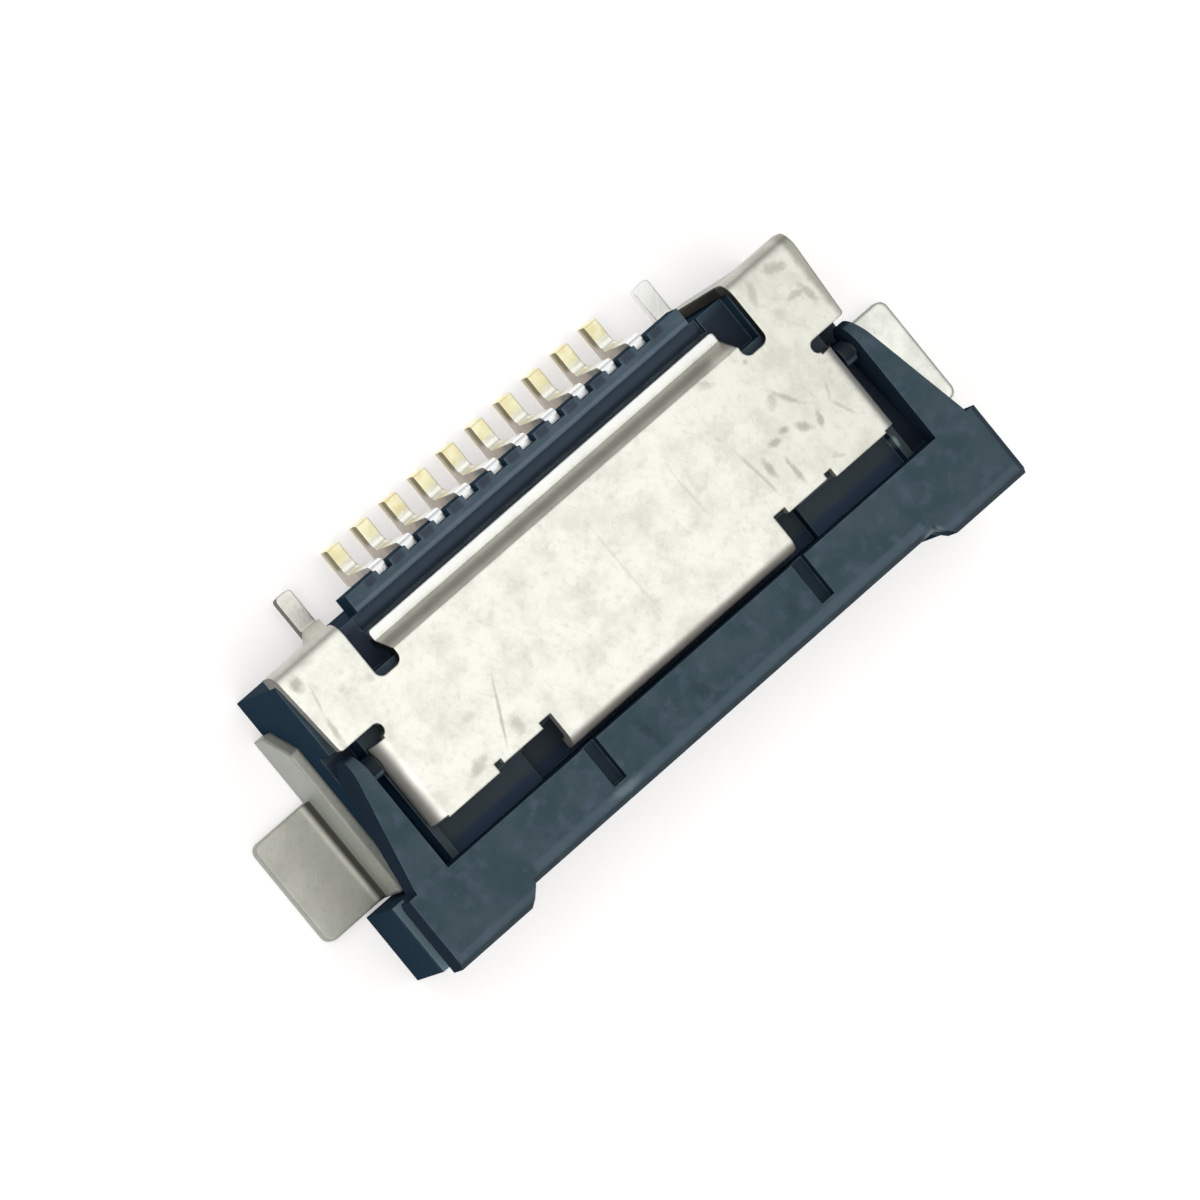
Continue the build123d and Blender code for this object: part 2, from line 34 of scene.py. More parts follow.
def add_camera():
    toward = Vector((cos(view_elevation) * cos(view_azimuth),
                     cos(view_elevation) * sin(view_azimuth),
                     sin(view_elevation)))
    level_right = Vector((0, 0, 1)).cross(toward).normalized()
    level_up = toward.cross(level_right)
    right = cos(view_roll) * level_right + sin(view_roll) * level_up
    up = -sin(view_roll) * level_right + cos(view_roll) * level_up
    data = bpy.data.cameras.new("camera")
    data.sensor_width = sensor_width
    data.sensor_fit = "AUTO"
    data.lens = lens_length
    data.clip_start = 10 * MM
    data.clip_end = 10.0
    camera = bpy.data.objects.new("camera", data)
    bpy.context.scene.collection.objects.link(camera)
    axes = Matrix((right, up, toward)).transposed().to_4x4()
    place = toward * view_distance + right * aim_right + up * aim_up
    camera.matrix_world = Matrix.Translation(place) @ axes
    bpy.context.scene.camera = camera


# Node helpers
class Nodes:
    """A material's or the world's node tree, with short calls for the nodes used here."""

    def __init__(self, tree):
        self.tree = tree
        self.tree.nodes.clear()
        self.coords = None

    def add(self, kind, **values):
        node = self.tree.nodes.new(kind)
        for name, value in values.items():
            setattr(node, name, value)
        return node

    def link(self, source, target):
        self.tree.links.new(source, target)

    def feed(self, socket, value):
        if isinstance(value, bpy.types.NodeSocket):
            self.link(value, socket)
        else:
            socket.default_value = value

    def position(self):
        """The point on the part, in metres, the same in every pose."""
        if self.coords is None:
            self.coords = self.add("ShaderNodeTexCoord").outputs["Object"]
        return self.coords

    def math(self, operation, a, b=0.0, clamp=False):
        node = self.add("ShaderNodeMath", operation=operation, use_clamp=clamp)
        self.feed(node.inputs[0], a)
        self.feed(node.inputs[1], b)
        return node.outputs[0]

    def ramp(self, value, low, high, out_low=0.0, out_high=1.0, smooth=True):
        node = self.add("ShaderNodeMapRange", clamp=True)
        if smooth:
            node.interpolation_type = "SMOOTHSTEP"
        self.feed(node.inputs["Value"], value)
        node.inputs["From Min"].default_value = low
        node.inputs["From Max"].default_value = high
        node.inputs["To Min"].default_value = out_low
        node.inputs["To Max"].default_value = out_high
        return node.outputs[0]

    def placed(self, place=(0, 0, 0), turn=0.0, scale=(1, 1, 1)):
        """The position measured from a place, turned about Z, then stretched."""
        moved = self.add("ShaderNodeVectorMath", operation="SUBTRACT")
        self.link(self.position(), moved.inputs[0])
        moved.inputs[1].default_value = place
        turned = self.add("ShaderNodeMapping", vector_type="POINT")
        self.link(moved.outputs[0], turned.inputs["Vector"])
        turned.inputs["Rotation"].default_value = (0, 0, turn)
        stretched = self.add("ShaderNodeVectorMath", operation="MULTIPLY")
        self.link(turned.outputs[0], stretched.inputs[0])
        stretched.inputs[1].default_value = scale
        return stretched.outputs[0]

    def noise(self, size, detail=3.0, roughness=0.5, vector=None, seed=0.0):
        """Noise whose blotches are about size metres across."""
        node = self.add("ShaderNodeTexNoise", noise_dimensions="4D")
        self.link(vector if vector is not None else self.position(), node.inputs["Vector"])
        node.inputs["W"].default_value = seed
        node.inputs["Scale"].default_value = 1.0 / size
        node.inputs["Detail"].default_value = detail
        node.inputs["Roughness"].default_value = roughness
        return node.outputs["Fac"]

    def mix(self, factor, a, b):
        node = self.add("ShaderNodeMix", data_type="RGBA")
        self.feed(node.inputs["Factor"], factor)
        self.feed(node.inputs["A"], a)
        self.feed(node.inputs["B"], b)
        return node.outputs["Result"]

    def bump(self, height, distance, strength=1.0, normal=None):
        node = self.add("ShaderNodeBump")
        self.link(height, node.inputs["Height"])
        node.inputs["Distance"].default_value = distance
        node.inputs["Strength"].default_value = strength
        if normal is not None:
            self.link(normal, node.inputs["Normal"])
        return node.outputs[0]

    def edge_mask(self, soft_normal):
        """One value: 0 on flat faces, towards 1 where the softened normal turns at an edge."""
        flat = self.add("ShaderNodeNewGeometry").outputs["Normal"]
        node = self.add("ShaderNodeVectorMath", operation="DOT_PRODUCT")
        self.link(soft_normal, node.inputs[0])
        self.link(flat, node.inputs[1])
        return self.ramp(node.outputs["Value"], 0.995, 0.88)

    def facing(self):
        """The surface's direction on the part, split into X, Y and Z."""
        split = self.add("ShaderNodeSeparateXYZ")
        self.link(self.add("ShaderNodeTexCoord").outputs["Normal"], split.inputs[0])
        return split.outputs

    def place_axes(self):
        """The position on the part, split into X, Y and Z."""
        split = self.add("ShaderNodeSeparateXYZ")
        self.link(self.position(), split.inputs[0])
        return split.outputs

    def patch(self, place, half_size, turn, depth, ragged):
        """A ragged oval seen from above: its place and half lengths in millimetres, turned in degrees."""
        local = self.placed((place[0] * MM, place[1] * MM, 0), radians(-turn),
                            (1 / (half_size[0] * MM), 1 / (half_size[1] * MM), 0))
        length = self.add("ShaderNodeVectorMath", operation="LENGTH")
        self.link(local, length.inputs[0])
        frayed = self.math("ADD", length.outputs["Value"], self.math("MULTIPLY", ragged, 1.6))
        return self.ramp(frayed, 2.0, 1.1, 0.0, depth)

    def area(self, sides, low, high, soft):
        """One value: 1 inside a box between two corners, 0 outside, in millimetres.

        The box is on the right of the middle where sides is 1, on the left where it is -1,
        and on both sides where it is 0.
        """
        place = self.place_axes()
        if sides == 0:
            across = self.math("ABSOLUTE", place["X"])
        else:
            across = self.math("MULTIPLY", place["X"], sides)
        inside = None
        for value, start, end in zip((across, place["Y"], place["Z"]), low, high):
            within = self.math("MULTIPLY",
                               self.ramp(value, (start - soft / 2) * MM, (start + soft / 2) * MM),
                               self.ramp(value, (end + soft / 2) * MM, (end - soft / 2) * MM))
            inside = within if inside is None else self.math("MULTIPLY", inside, within)
        return inside

    def areas(self, colour, parts):
        """The colour with each area's tone laid over it in turn."""
        for sides, low, high, soft, tone, amount in parts:
            cover = self.math("MULTIPLY", self.area(sides, low, high, soft), amount)
            colour = self.mix(cover, colour, tone)
        return colour

    def patches(self, colour, parts, ragged, tone):
        """The colour with one tone laid over it in each of the ragged ovals."""
        for place, half_size, turn, depth in parts:
            colour = self.mix(self.patch(place, half_size, turn, depth, ragged), colour, tone)
        return colour

    def soft_edge(self, radius):
        node = self.add("ShaderNodeBevel", samples=6)
        node.inputs["Radius"].default_value = radius
        return node.outputs[0]


def new_surface(name, **values):
    material = bpy.data.materials.new(name)
    material.use_nodes = True
    nodes = Nodes(material.node_tree)
    shader = nodes.add("ShaderNodeBsdfPrincipled")
    output = nodes.add("ShaderNodeOutputMaterial")
    nodes.link(shader.outputs[0], output.inputs[0])
    for socket, value in values.items():
        shader.inputs[socket.replace("_", " ")].default_value = value
    return material, nodes, shader


def rgb(red, green, blue):
    """A colour written as it shows on a screen, from 0 to 255."""
    def linear(value):
        value = value / 255
        return value / 12.92 if value <= 0.04045 else ((value + 0.055) / 1.055) ** 2.4
    return (linear(red), linear(green), linear(blue), 1.0)


# Plastic: sizes of its blotches, and where the painted shade between the contacts and on the low faces
# ends across the part
drift_size = 0.50 * MM
cloud_size = 0.20 * MM
pitch = 0.5 * MM
comb_shift = 0.54
comb_half_width = 2.55 * MM
comb_fade = 0.07 * MM
low_shade_half_width = 4.55 * MM
low_shade_fade = 0.15 * MM


def comb_shade(nodes, place, cloud, start):
    """One value: towards 1 in the gaps between the contacts, behind the line where the comb starts."""
    cell = nodes.math("FRACT", nodes.math("ADD", nodes.math("DIVIDE", place["X"], pitch), comb_shift))
    between = nodes.ramp(nodes.math("ABSOLUTE", nodes.math("SUBTRACT", cell, 0.5)), 0.24, 0.12)
    behind = nodes.ramp(nodes.math("ADD", place["Y"], nodes.math("MULTIPLY", cloud, 0.06 * MM)),
                        start, start + 0.05 * MM)
    within = nodes.ramp(nodes.math("ABSOLUTE", place["X"]), comb_half_width + comb_fade, comb_half_width)
    return nodes.math("MULTIPLY", nodes.math("MULTIPLY", between, behind), within)


def moulded_plastic(name, tones, edge_radius):
    """Moulded plastic: blotches and worn edges, more specular upward faces, painted shade on upright
    sides, low faces and between the contacts, painted shade on the lock's front slopes and painted light
    on the housing's.
    """
    material, nodes, shader = new_surface(name)
    drift = nodes.noise(drift_size, detail=4.0, roughness=0.6)
    cloud = nodes.noise(cloud_size, detail=3.0, roughness=0.55, seed=2.0)
    colour = nodes.mix(nodes.ramp(drift, 0.38, 0.62), tones["dark"], tones["base"])
    colour = nodes.mix(nodes.ramp(cloud, 0.48, 0.72, 0.0, 0.7), colour, tones["light"])
    place = nodes.place_axes()
    # Painted shade on the faces that lie low and to the front
    low_shade = nodes.math("MULTIPLY", nodes.ramp(place["Z"], tones["low_shade_z"] + 0.03 * MM, tones["low_shade_z"]),
                      nodes.ramp(place["Y"], tones["low_shade_y"], tones["low_shade_y"] - 0.5 * MM))
    central = nodes.ramp(nodes.math("ABSOLUTE", place["X"]), low_shade_half_width + low_shade_fade, low_shade_half_width)
    low_shade = nodes.math("MULTIPLY", low_shade, central)
    colour = nodes.mix(nodes.math("MULTIPLY", low_shade, 0.8), colour, tones["low_shade"])
    colour = nodes.areas(colour, tones["areas"])
    colour = nodes.patches(colour, tones["stains"], cloud, tones["stain_and_gap_shade"])
    # Painted shade in the gaps between the contacts, in the same tone as the stains
    if tones["comb_y"] is not None:
        gap = comb_shade(nodes, place, cloud, tones["comb_y"])
        colour = nodes.mix(nodes.math("MULTIPLY", gap, 0.6), colour, tones["stain_and_gap_shade"])
    facing = nodes.facing()
    # Painted shade on the upright sides
    upright = nodes.ramp(nodes.math("ABSOLUTE", facing["Z"]), 0.66, 0.40)
    colour = nodes.mix(nodes.math("MULTIPLY", upright, 0.9), colour, tones["side"])
    # Painted shade on the lock's front slopes, painted light on the housing's
    front_bevel = nodes.math("MULTIPLY", nodes.ramp(facing["Y"], -0.45, -0.62),
                             nodes.ramp(facing["Z"], 0.45, 0.62))
    colour = nodes.mix(nodes.math("MULTIPLY", front_bevel, nodes.ramp(cloud, 0.3, 0.6, 0.35, 0.9)),
                       colour, tones["front_slope_shading"])
    colour = nodes.patches(colour, tones["patches"], cloud, tones["worn"])
    soft = nodes.soft_edge(edge_radius)
    worn = nodes.math("MULTIPLY", nodes.edge_mask(soft), nodes.ramp(cloud, 0.3, 0.6, 0.2, 0.7))
    worn = nodes.math("MULTIPLY", worn, nodes.ramp(upright, 0.2, 0.8, 1.0, 0.0))
    colour = nodes.mix(worn, colour, tones["edge"])
    nodes.link(colour, shader.inputs["Base Color"])
    nodes.link(nodes.ramp(drift, 0.3, 0.7, 0.52, 0.64), shader.inputs["Roughness"])
    nodes.link(nodes.ramp(upright, 0.0, 1.0, 0.16, 0.04), shader.inputs["Specular IOR Level"])
    nodes.link(nodes.ramp(upright, 0.0, 1.0, 1.5, 1.12), shader.inputs["IOR"])
    height = nodes.noise(0.03 * MM, detail=3.0, seed=5.0)
    nodes.link(nodes.bump(height, 0.0016 * MM, normal=soft), shader.inputs["Normal"])
    return material


# Grey scuffs on the shell, each at a place in millimetres, with its half lengths, its turn and its depth
scuffs = (
    # Left wing
    ((-4.28, 1.42), (0.13, 0.10), 77, 0.60),
    ((-4.20, 1.12), (0.24, 0.028), 77, 0.30),
    ((-4.27, 0.68), (0.22, 0.05), 85, 0.50),
    ((-3.48, 0.89), (0.08, 0.06), -77, 0.25),
    ((-4.31, 0.48), (0.10, 0.04), -72, 0.28),
    # Right wing
    ((4.05, 1.44), (0.19, 0.09), -21, 0.50),
    ((4.19, 0.92), (0.20, 0.07), -80, 0.50),
    ((4.06, 1.00), (0.17, 0.06), -9, 0.45),
    ((3.60, 1.37), (0.20, 0.07), 66, 0.34),
    ((3.72, 0.95), (0.11, 0.08), -59, 0.26),
    # Plate, right
    ((3.07, 0.12), (0.28, 0.04), -58, 0.40),
    ((2.90, 0.18), (0.15, 0.07), 58, 0.34),
    ((3.02, -0.31), (0.15, 0.07), -49, 0.58),
    ((3.25, -0.38), (0.13, 0.06), 67, 0.58),
    ((2.78, -0.19), (0.08, 0.06), -30, 0.55),
    ((2.59, -0.23), (0.11, 0.06), -16, 0.55),
    ((3.57, -0.17), (0.18, 0.03), 65, 0.28),
    ((3.59, -0.46), (0.22, 0.03), -65, 0.30),
    ((2.32, -0.44), (0.19, 0.06), -88, 0.55),
    ((2.57, -0.67), (0.22, 0.045), -88, 0.52),
    ((2.16, -0.39), (0.46, 0.032), -82, 0.34),
    ((3.15, -0.89), (0.10, 0.03), -30, 0.30),
    ((2.35, 0.88), (0.13, 0.07), -24, 0.30),
    ((2.95, 0.78), (0.045, 0.045), 0, 0.40),
    # Plate, middle and left
    ((1.29, -0.03), (0.42, 0.025), -88, 0.20),
    ((-2.46, -0.50), (0.54, 0.026), 62, 0.48),
    ((-2.38, -0.75), (0.16, 0.10), 90, 0.38),
    ((-3.11, -0.83), (0.22, 0.10), 15, 0.44),
    ((-2.81, -0.28), (0.13, 0.07), -4, 0.24),
    ((-0.73, -0.01), (0.26, 0.09), -22, 0.13),
    ((0.00, -0.12), (0.94, 0.025), -89, 0.16),
    ((-1.71, -0.16), (0.24, 0.07), 73, 0.13),
)


def scuff_mask(nodes):
    """One value over the plate: 0 where it is clean, towards 1 inside the scuffs."""
    total = None
    ragged = nodes.noise(0.10 * MM, detail=4.0, roughness=0.7, seed=9.0)
    for place, half_size, turn, depth in scuffs:
        spot = nodes.patch(place, half_size, turn, depth, ragged)
        total = spot if total is None else nodes.math("MAXIMUM", total, spot)
    return total


def hairlines(nodes, turn, seed):
    """One value: thin faint scratches, about a millimetre long, all in one direction."""
    along = nodes.placed(turn=radians(turn), scale=(1.0, 0.05, 0.0))
    lines = nodes.noise(0.05 * MM, detail=1.0, roughness=0.4, vector=along, seed=seed)
    return nodes.ramp(lines, 0.66, 0.76, 0.0, 1.0)


# Sheet: how much painted shade greys its sloping bends, where painted shade greys the shell's right edge,
# the front part whose sides take a paler painted shade than the other sides, and the tones of that darker
# side shade and of the painted shade on the tongue's bend
bend_shade = 0.60
right_edge_shade_start = 4.29 * MM
right_edge_shade_end = 4.40 * MM
front_start = 0.30 * MM
front_end = 0.22 * MM
sideways_shade_tone = rgb(84, 84, 78)
tongue_bend_shade = rgb(150, 144, 136)


def plated_sheet(name, base, grey, front_sideways_shade, rim_shade, edge_radius, areas=(), upright=None, metal=1.0,
                 scuffed=False):
    """Tin-plated stamped sheet: pale, slightly matt, mottled, finely scratched, with painted shade at its
    rims, bends and sides.

    The tones are base, of the sheet; grey, of its marks and of its painted shade; then the tone of the
    painted shade on the front's sides and, on the nails, of the painted shade on the upright faces. The
    rim amount is how much painted shade greys the rims, metal is how metallic the sheet is, areas are
    boxes of painted light and shade, and the shell alone is scuffed.
    """
    material, nodes, shader = new_surface(name, Metallic=metal)
    mottle = nodes.noise(0.40 * MM, detail=5.0, roughness=0.65)
    fine = nodes.noise(0.09 * MM, detail=3.0, seed=3.0)
    colour = nodes.mix(nodes.ramp(mottle, 0.38, 0.70, 0.0, 0.27), base, grey)
    colour = nodes.mix(nodes.ramp(fine, 0.50, 0.80, 0.0, 0.20), colour, grey)
    if scuffed:
        # Painted shade: the shell greys towards its right end
        right_shade = nodes.ramp(nodes.place_axes()["X"], 0.8 * MM, 4.4 * MM, 0.0, 0.20)
        colour = nodes.mix(right_shade, colour, grey)
        lines = nodes.math("MAXIMUM", hairlines(nodes, 8, 11.0), hairlines(nodes, -35, 12.0))
        colour = nodes.mix(nodes.math("MULTIPLY", lines, 0.09), colour, grey)
        # Painted shade along the shell's right edge
        rolled = nodes.math("ADD", nodes.place_axes()["X"], nodes.math("MULTIPLY", fine, 0.06 * MM))
        colour = nodes.mix(nodes.ramp(rolled, right_edge_shade_start, right_edge_shade_end, 0.0, 0.75), colour, grey)
        colour = nodes.mix(scuff_mask(nodes), colour, grey)
    soft = nodes.soft_edge(edge_radius)
    # Painted shade greys the rims
    colour = nodes.mix(nodes.math("MULTIPLY", nodes.edge_mask(soft), rim_shade), colour, grey)
    facing = nodes.facing()
    level = nodes.math("ABSOLUTE", facing["Z"])
    # Painted shade greys the sloping bends
    tilted = nodes.math("MULTIPLY", nodes.ramp(level, 0.95, 0.65, 0.0, bend_shade),
                        nodes.ramp(facing["Y"], -0.5, -0.1, 0.3, 1.0))
    colour = nodes.mix(tilted, colour, grey)
    # Painted shade on the side-facing faces: paler on the front part, darker elsewhere
    sideways = nodes.math("ABSOLUTE", facing["X"])
    front = nodes.ramp(nodes.place_axes()["Y"], front_start, front_end)
    sideways_shade = nodes.mix(front, sideways_shade_tone, front_sideways_shade)
    colour = nodes.mix(nodes.ramp(sideways, 0.08, 0.70, 0.0, 0.92), colour, sideways_shade)
    colour = nodes.areas(colour, areas)
    if scuffed:
        # Painted shade on the tongue's forward-facing bend
        tongue = nodes.ramp(facing["Y"], -0.10, -0.60)
        colour = nodes.mix(nodes.math("MULTIPLY", tongue, 0.8), colour, tongue_bend_shade)
        dull_lip = nodes.math("MULTIPLY", nodes.ramp(sideways, 0.10, 0.70, 0.0, 0.65), front)
        dull = nodes.math("MAXIMUM", dull_lip, nodes.math("MULTIPLY", tongue, 0.6))
        nodes.link(nodes.math("SUBTRACT", metal, dull), shader.inputs["Metallic"])
    if upright is not None:
        # Painted shade on the nails' upright faces, which are also less metallic
        colour = nodes.mix(nodes.ramp(level, 0.35, 0.12), colour, upright)
        nodes.link(nodes.ramp(level, 0.30, 0.60, 0.25, metal), shader.inputs["Metallic"])
    nodes.link(colour, shader.inputs["Base Color"])
    scratches = nodes.noise(0.02 * MM, detail=2.0,
                            vector=nodes.placed(turn=radians(35), scale=(1.0, 0.06, 1.0)), seed=6.0)
    rough = nodes.math("ADD", nodes.ramp(mottle, 0.3, 0.7, 0.32, 0.42),
                       nodes.ramp(scratches, 0.5, 0.8, 0.0, 0.08))
    nodes.link(rough, shader.inputs["Roughness"])
    normal = nodes.bump(mottle, 0.006 * MM, normal=soft)
    normal = nodes.bump(scratches, 0.0012 * MM, normal=normal)
    nodes.link(normal, shader.inputs["Normal"])
    return material


def plated_contact(name):
    """Contact strip: pale gold on the foot, painted shade and reflection on the sides, silvery where it
    enters the housing.
    """
    material, nodes, shader = new_surface(name, Metallic=1.0)
    wander = nodes.noise(0.15 * MM, detail=3.0)
    place = nodes.place_axes()
    height = nodes.math("ADD", place["Z"], nodes.math("MULTIPLY", wander, 0.2 * MM))
    silver = nodes.ramp(height, 0.65 * MM, 0.95 * MM)
    face = nodes.mix(nodes.ramp(wander, 0.35, 0.7), rgb(255, 250, 212), rgb(248, 234, 184))
    face = nodes.mix(silver, face, rgb(250, 252, 252))
    # Painted reflection makes the leg between the foot and the shoulder duller, and a painted highlight
    # makes the bend above the foot white
    leg_reflection = nodes.math("MULTIPLY", nodes.ramp(place["Z"], 0.30 * MM, 0.50 * MM, 0.0, 0.8),
                     nodes.ramp(silver, 0.6, 0.2))
    face = nodes.mix(leg_reflection, face, rgb(232, 222, 206))
    bend_highlight = nodes.math("MULTIPLY", nodes.ramp(place["Y"], 2.06 * MM, 1.98 * MM),
                        nodes.ramp(place["Z"], 0.40 * MM, 0.30 * MM))
    face = nodes.mix(nodes.math("MULTIPLY", bend_highlight, 0.85), face, rgb(255, 255, 248))
    # Painted shade and reflection on the sides: brown in shade near the top, pale with the floor's light
    # below, paler along the leg, grey on the silvery part
    side_shade_colour = nodes.mix(nodes.ramp(place["Z"], 0.04 * MM, 0.15 * MM), rgb(202, 188, 164), rgb(90, 76, 40))
    side_shade_colour = nodes.mix(nodes.ramp(place["Y"], 2.02 * MM, 1.92 * MM, 0.0, 0.85), side_shade_colour, rgb(206, 196, 186))
    side_shade_colour = nodes.mix(silver, side_shade_colour, rgb(140, 142, 138))
    side = nodes.ramp(nodes.math("ABSOLUTE", nodes.facing()["X"]), 0.60, 0.85, 0.0, 0.9)
    nodes.link(nodes.mix(side, face, side_shade_colour), shader.inputs["Base Color"])
    nodes.link(nodes.ramp(wander, 0.3, 0.7, 0.28, 0.40), shader.inputs["Roughness"])
    normal = nodes.bump(nodes.noise(0.06 * MM), 0.003 * MM, normal=nodes.soft_edge(0.03 * MM))
    nodes.link(normal, shader.inputs["Normal"])
    return material


# Colours of the two plastics. A face that lies low, below a height and in front of a line, takes a darker
# tone as painted shade. Behind comb_y the housing has painted shade between the contacts. Areas are
# boxes: the side, two corners in millimetres, how soft the edge is, a tone and its amount. Stains and
# patches are ragged ovals, in the stain tone, which also gives the painted shade between the contacts,
# and the worn tone.
housing_tones = {
    "base": rgb(74, 90, 102), "light": rgb(86, 98, 114), "dark": rgb(64, 82, 92),
    "side": rgb(32, 54, 72), "edge": rgb(104, 120, 128), "front_slope_shading": rgb(84, 98, 108),
    "worn": rgb(128, 146, 146), "stain_and_gap_shade": rgb(44, 44, 62), "low_shade": rgb(56, 65, 70),
    "low_shade_z": 1.80 * MM, "low_shade_y": 0.9 * MM, "comb_y": 1.69 * MM,
    "areas": (
        # Painted shade in the trough behind the band, darker beside the band, then in the ends of the two
        # slots
        (0, (-1, 0.80, 1.15), (3.42, 1.553, 1.37), 0.02, rgb(48, 62, 76), 0.9),
        (0, (-1, 1.20, 1.15), (2.99, 1.400, 1.37), 0.07, rgb(20, 30, 40), 0.85),
        (0, (2.96, 0.60, 1.15), (3.42, 1.45, 1.37), 0.10, rgb(24, 32, 46), 0.8),
        # Light front edge of the comb
        (0, (-1, 1.565, 1.30), (3.20, 1.615, 1.40), 0.03, rgb(104, 116, 130), 0.6),
        # Painted shade in the front recess along the bar and in the channels beside the arms
        (0, (-1, -1.75, 1.20), (4.70, -1.37, 1.55), 0.10, rgb(36, 56, 84), 0.75),
        (0, (4.03, -1.60, 0.90), (4.62, 0.35, 1.60), 0.04, rgb(26, 38, 58), 0.7),
        # Painted light on the ledges at the two ends
        (0, (4.69, -2.60, 1.00), (4.95, -1.35, 1.12), 0.02, rgb(118, 138, 148), 0.9),
        # Painted shade on the bearing eyes
        (0, (3.96, -0.22, 1.20), (4.27, 0.22, 1.85), 0.03, rgb(20, 28, 36), 0.9),
    ),
    "stains": (),
    "patches": (((3.58, -2.46), (0.20, 0.20), 0, 0.8), ((3.95, -1.26), (0.04, 0.10), 0, 0.9)),
}
lock_tones = {
    "base": rgb(62, 78, 87), "light": rgb(76, 87, 104), "dark": rgb(50, 70, 78),
    "side": rgb(30, 44, 58), "edge": rgb(88, 104, 116), "front_slope_shading": rgb(42, 54, 64),
    "worn": rgb(124, 140, 148), "stain_and_gap_shade": rgb(40, 54, 62), "low_shade": rgb(10, 28, 44),
    "low_shade_z": 1.83 * MM, "low_shade_y": -1.0 * MM, "comb_y": None,
    "areas": (
        # Paler strips behind the front edges, darker rim at the right end
        (0, (-1, -2.305, 1.90), (3.40, -2.19, 2.00), 0.06, rgb(84, 98, 110), 0.5),
        (0, (3.50, -2.51, 1.90), (4.94, -2.42, 2.00), 0.06, rgb(86, 98, 112), 0.4),
        (1, (4.88, -2.70, 1.80), (4.99, -1.30, 2.00), 0.04, rgb(30, 38, 54), 0.75),
    ),
    "stains": (((-1.13, -1.90), (0.07, 0.24), 14, 0.6), ((-0.22, -1.96), (0.10, 0.20), 20, 0.45),
               ((-0.70, -1.86), (0.16, 0.10), 0, 0.35), ((1.35, -1.95), (0.22, 0.12), 30, 0.35)),
    "patches": (((-1.81, -2.25), (0.30, 0.07), 0, 0.45), ((3.44, -2.45), (0.22, 0.12), -40, 0.9)),
}

# Painted light and shade on the shell, as boxes like those of the plastics
shell_light_and_shade = (
    # Painted highlight on the rear strip of the band, painted shade at the foot of the ramp and along the
    # right edge of the plate, painted light on the right foot
    (0, (-1, 1.19, 1.30), (3.05, 1.35, 1.53), 0.05, rgb(255, 255, 255), 0.7),
    (0, (-1, 1.03, 1.48), (3.05, 1.12, 1.85), 0.06, rgb(116, 112, 102), 0.5),
    (1, (3.93, -1.10, 1.80), (4.10, 0.24, 2.00), 0.12, rgb(176, 174, 178), 0.7),
    (1, (2.80, 1.70, -0.10), (4.00, 2.40, 0.35), 0.06, rgb(255, 255, 252), 0.9),
)


def dress_nodes():
    """One material for each piece, and one for all contacts. The left nail is painted darker as shade,
    and is less metallic.
    """
    looks = {
        "base_housing": moulded_plastic("housing_plastic", housing_tones, 0.03 * MM),
        "actuator": moulded_plastic("lock_plastic", lock_tones, 0.035 * MM),
        "shell": plated_sheet("shell_sheet", base=rgb(249, 248, 239), grey=rgb(148, 147, 136),
                              front_sideways_shade=rgb(166, 164, 157), rim_shade=0.15, edge_radius=0.035 * MM,
                              areas=shell_light_and_shade, scuffed=True),
        "left_nail": plated_sheet("left_nail_shaded_sheet", base=rgb(204, 204, 193), grey=rgb(150, 150, 140),
                                  front_sideways_shade=rgb(56, 54, 48), rim_shade=0.35, edge_radius=0.06 * MM,
                                  upright=rgb(172, 176, 167), metal=0.45),
        "right_nail": plated_sheet("right_nail_sheet", base=rgb(248, 249, 241), grey=rgb(134, 137, 128),
                                   front_sideways_shade=rgb(110, 110, 104), rim_shade=0.75, edge_radius=0.08 * MM,
                                   upright=rgb(172, 176, 167)),
    }
    contact = plated_contact("contact_plating")
    for name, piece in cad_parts.items():
        material = looks.get(name, contact)
        piece.data.materials.clear()
        piece.data.materials.append(material)


# Floor: pale paper that also glows where it is seen, so that it shows white as behind a cut-out
floor_size = 0.6
floor_drop = 0.01 * MM
floor_glow = 0.46
glow_colour = (1, 0.975, 0.965, 1)


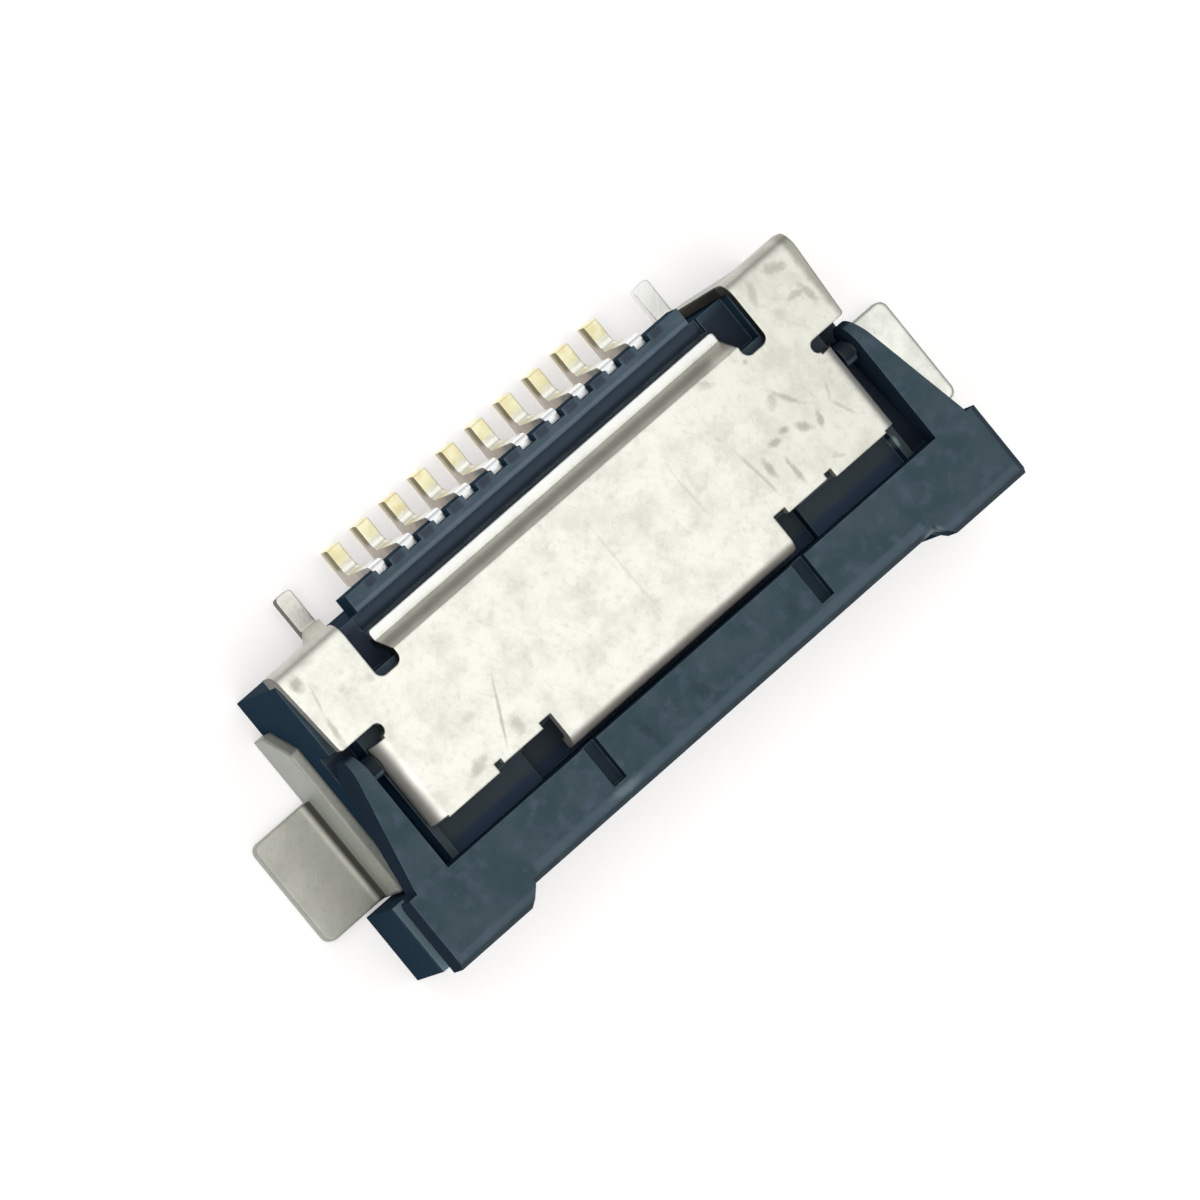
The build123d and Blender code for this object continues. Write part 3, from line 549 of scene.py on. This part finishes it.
def add_floor():
    bpy.ops.mesh.primitive_plane_add(size=floor_size, location=(0, 0, -floor_drop))
    floor = bpy.context.object
    floor.name = "floor"
    material, nodes, shader = new_surface("floor_paper", Roughness=0.9)
    shader.inputs["Specular IOR Level"].default_value = 0.2
    tone = nodes.noise(40 * MM, detail=2.0)
    colour = nodes.mix(tone, rgb(218, 218, 218), rgb(222, 222, 222))
    nodes.link(colour, shader.inputs["Base Color"])
    rays = nodes.add("ShaderNodeLightPath")
    seen = nodes.math("MAXIMUM", rays.outputs["Is Camera Ray"], rays.outputs["Is Glossy Ray"])
    seen = nodes.math("MAXIMUM", seen, rays.outputs["Is Transmission Ray"])
    shader.inputs["Emission Color"].default_value = glow_colour
    nodes.link(nodes.math("MULTIPLY", seen, floor_glow), shader.inputs["Emission Strength"])
    floor.data.materials.append(material)


def add_softbox(name, azimuth, elevation, distance, size, irradiance):
    """A square lamp that faces the part, with the light that it gives there in watts a square metre."""
    data = bpy.data.lights.new(name, "AREA")
    data.shape = "SQUARE"
    data.size = size
    data.energy = irradiance * pi * distance ** 2
    lamp = bpy.data.objects.new(name, data)
    toward = Vector((cos(elevation) * cos(azimuth), cos(elevation) * sin(azimuth), sin(elevation)))
    lamp.location = toward * distance
    lamp.rotation_euler = toward.to_track_quat("Z", "Y").to_euler()
    bpy.context.scene.collection.objects.link(lamp)


# Studio: a surround that is pale above and grey at the horizon, with a dark card low on the left,
# and one square key lamp, also from the left
zenith_light = (0.98, 0.98, 0.965, 1)
horizon_light = (0.30, 0.31, 0.31, 1)
dark_card = (0.11, 0.115, 0.12, 1)
key_azimuth = radians(185)
key_elevation = radians(62)
key_distance = 0.25
key_size = 0.32
key_irradiance = 0.85


def add_light():
    world = bpy.data.worlds.new("studio")
    world.use_nodes = True
    bpy.context.scene.world = world
    nodes = Nodes(world.node_tree)
    direction = nodes.add("ShaderNodeTexCoord").outputs["Generated"]
    split = nodes.add("ShaderNodeSeparateXYZ")
    nodes.link(direction, split.inputs[0])
    up = split.outputs["Z"]
    sky = nodes.mix(nodes.ramp(up, 0.05, 0.80), horizon_light, zenith_light)
    left = nodes.math("MULTIPLY", nodes.ramp(split.outputs["X"], -0.35, -0.80),
                      nodes.ramp(up, 0.62, 0.35))
    sky = nodes.mix(left, sky, dark_card)
    background = nodes.add("ShaderNodeBackground")
    nodes.link(sky, background.inputs["Color"])
    output = nodes.add("ShaderNodeOutputWorld")
    nodes.link(background.outputs[0], output.inputs[0])
    add_softbox("key", key_azimuth, key_elevation, key_distance, key_size, key_irradiance)


add_camera()
dress_nodes()
add_floor()
add_light()
bpy.context.scene.view_settings.view_transform = "Standard"
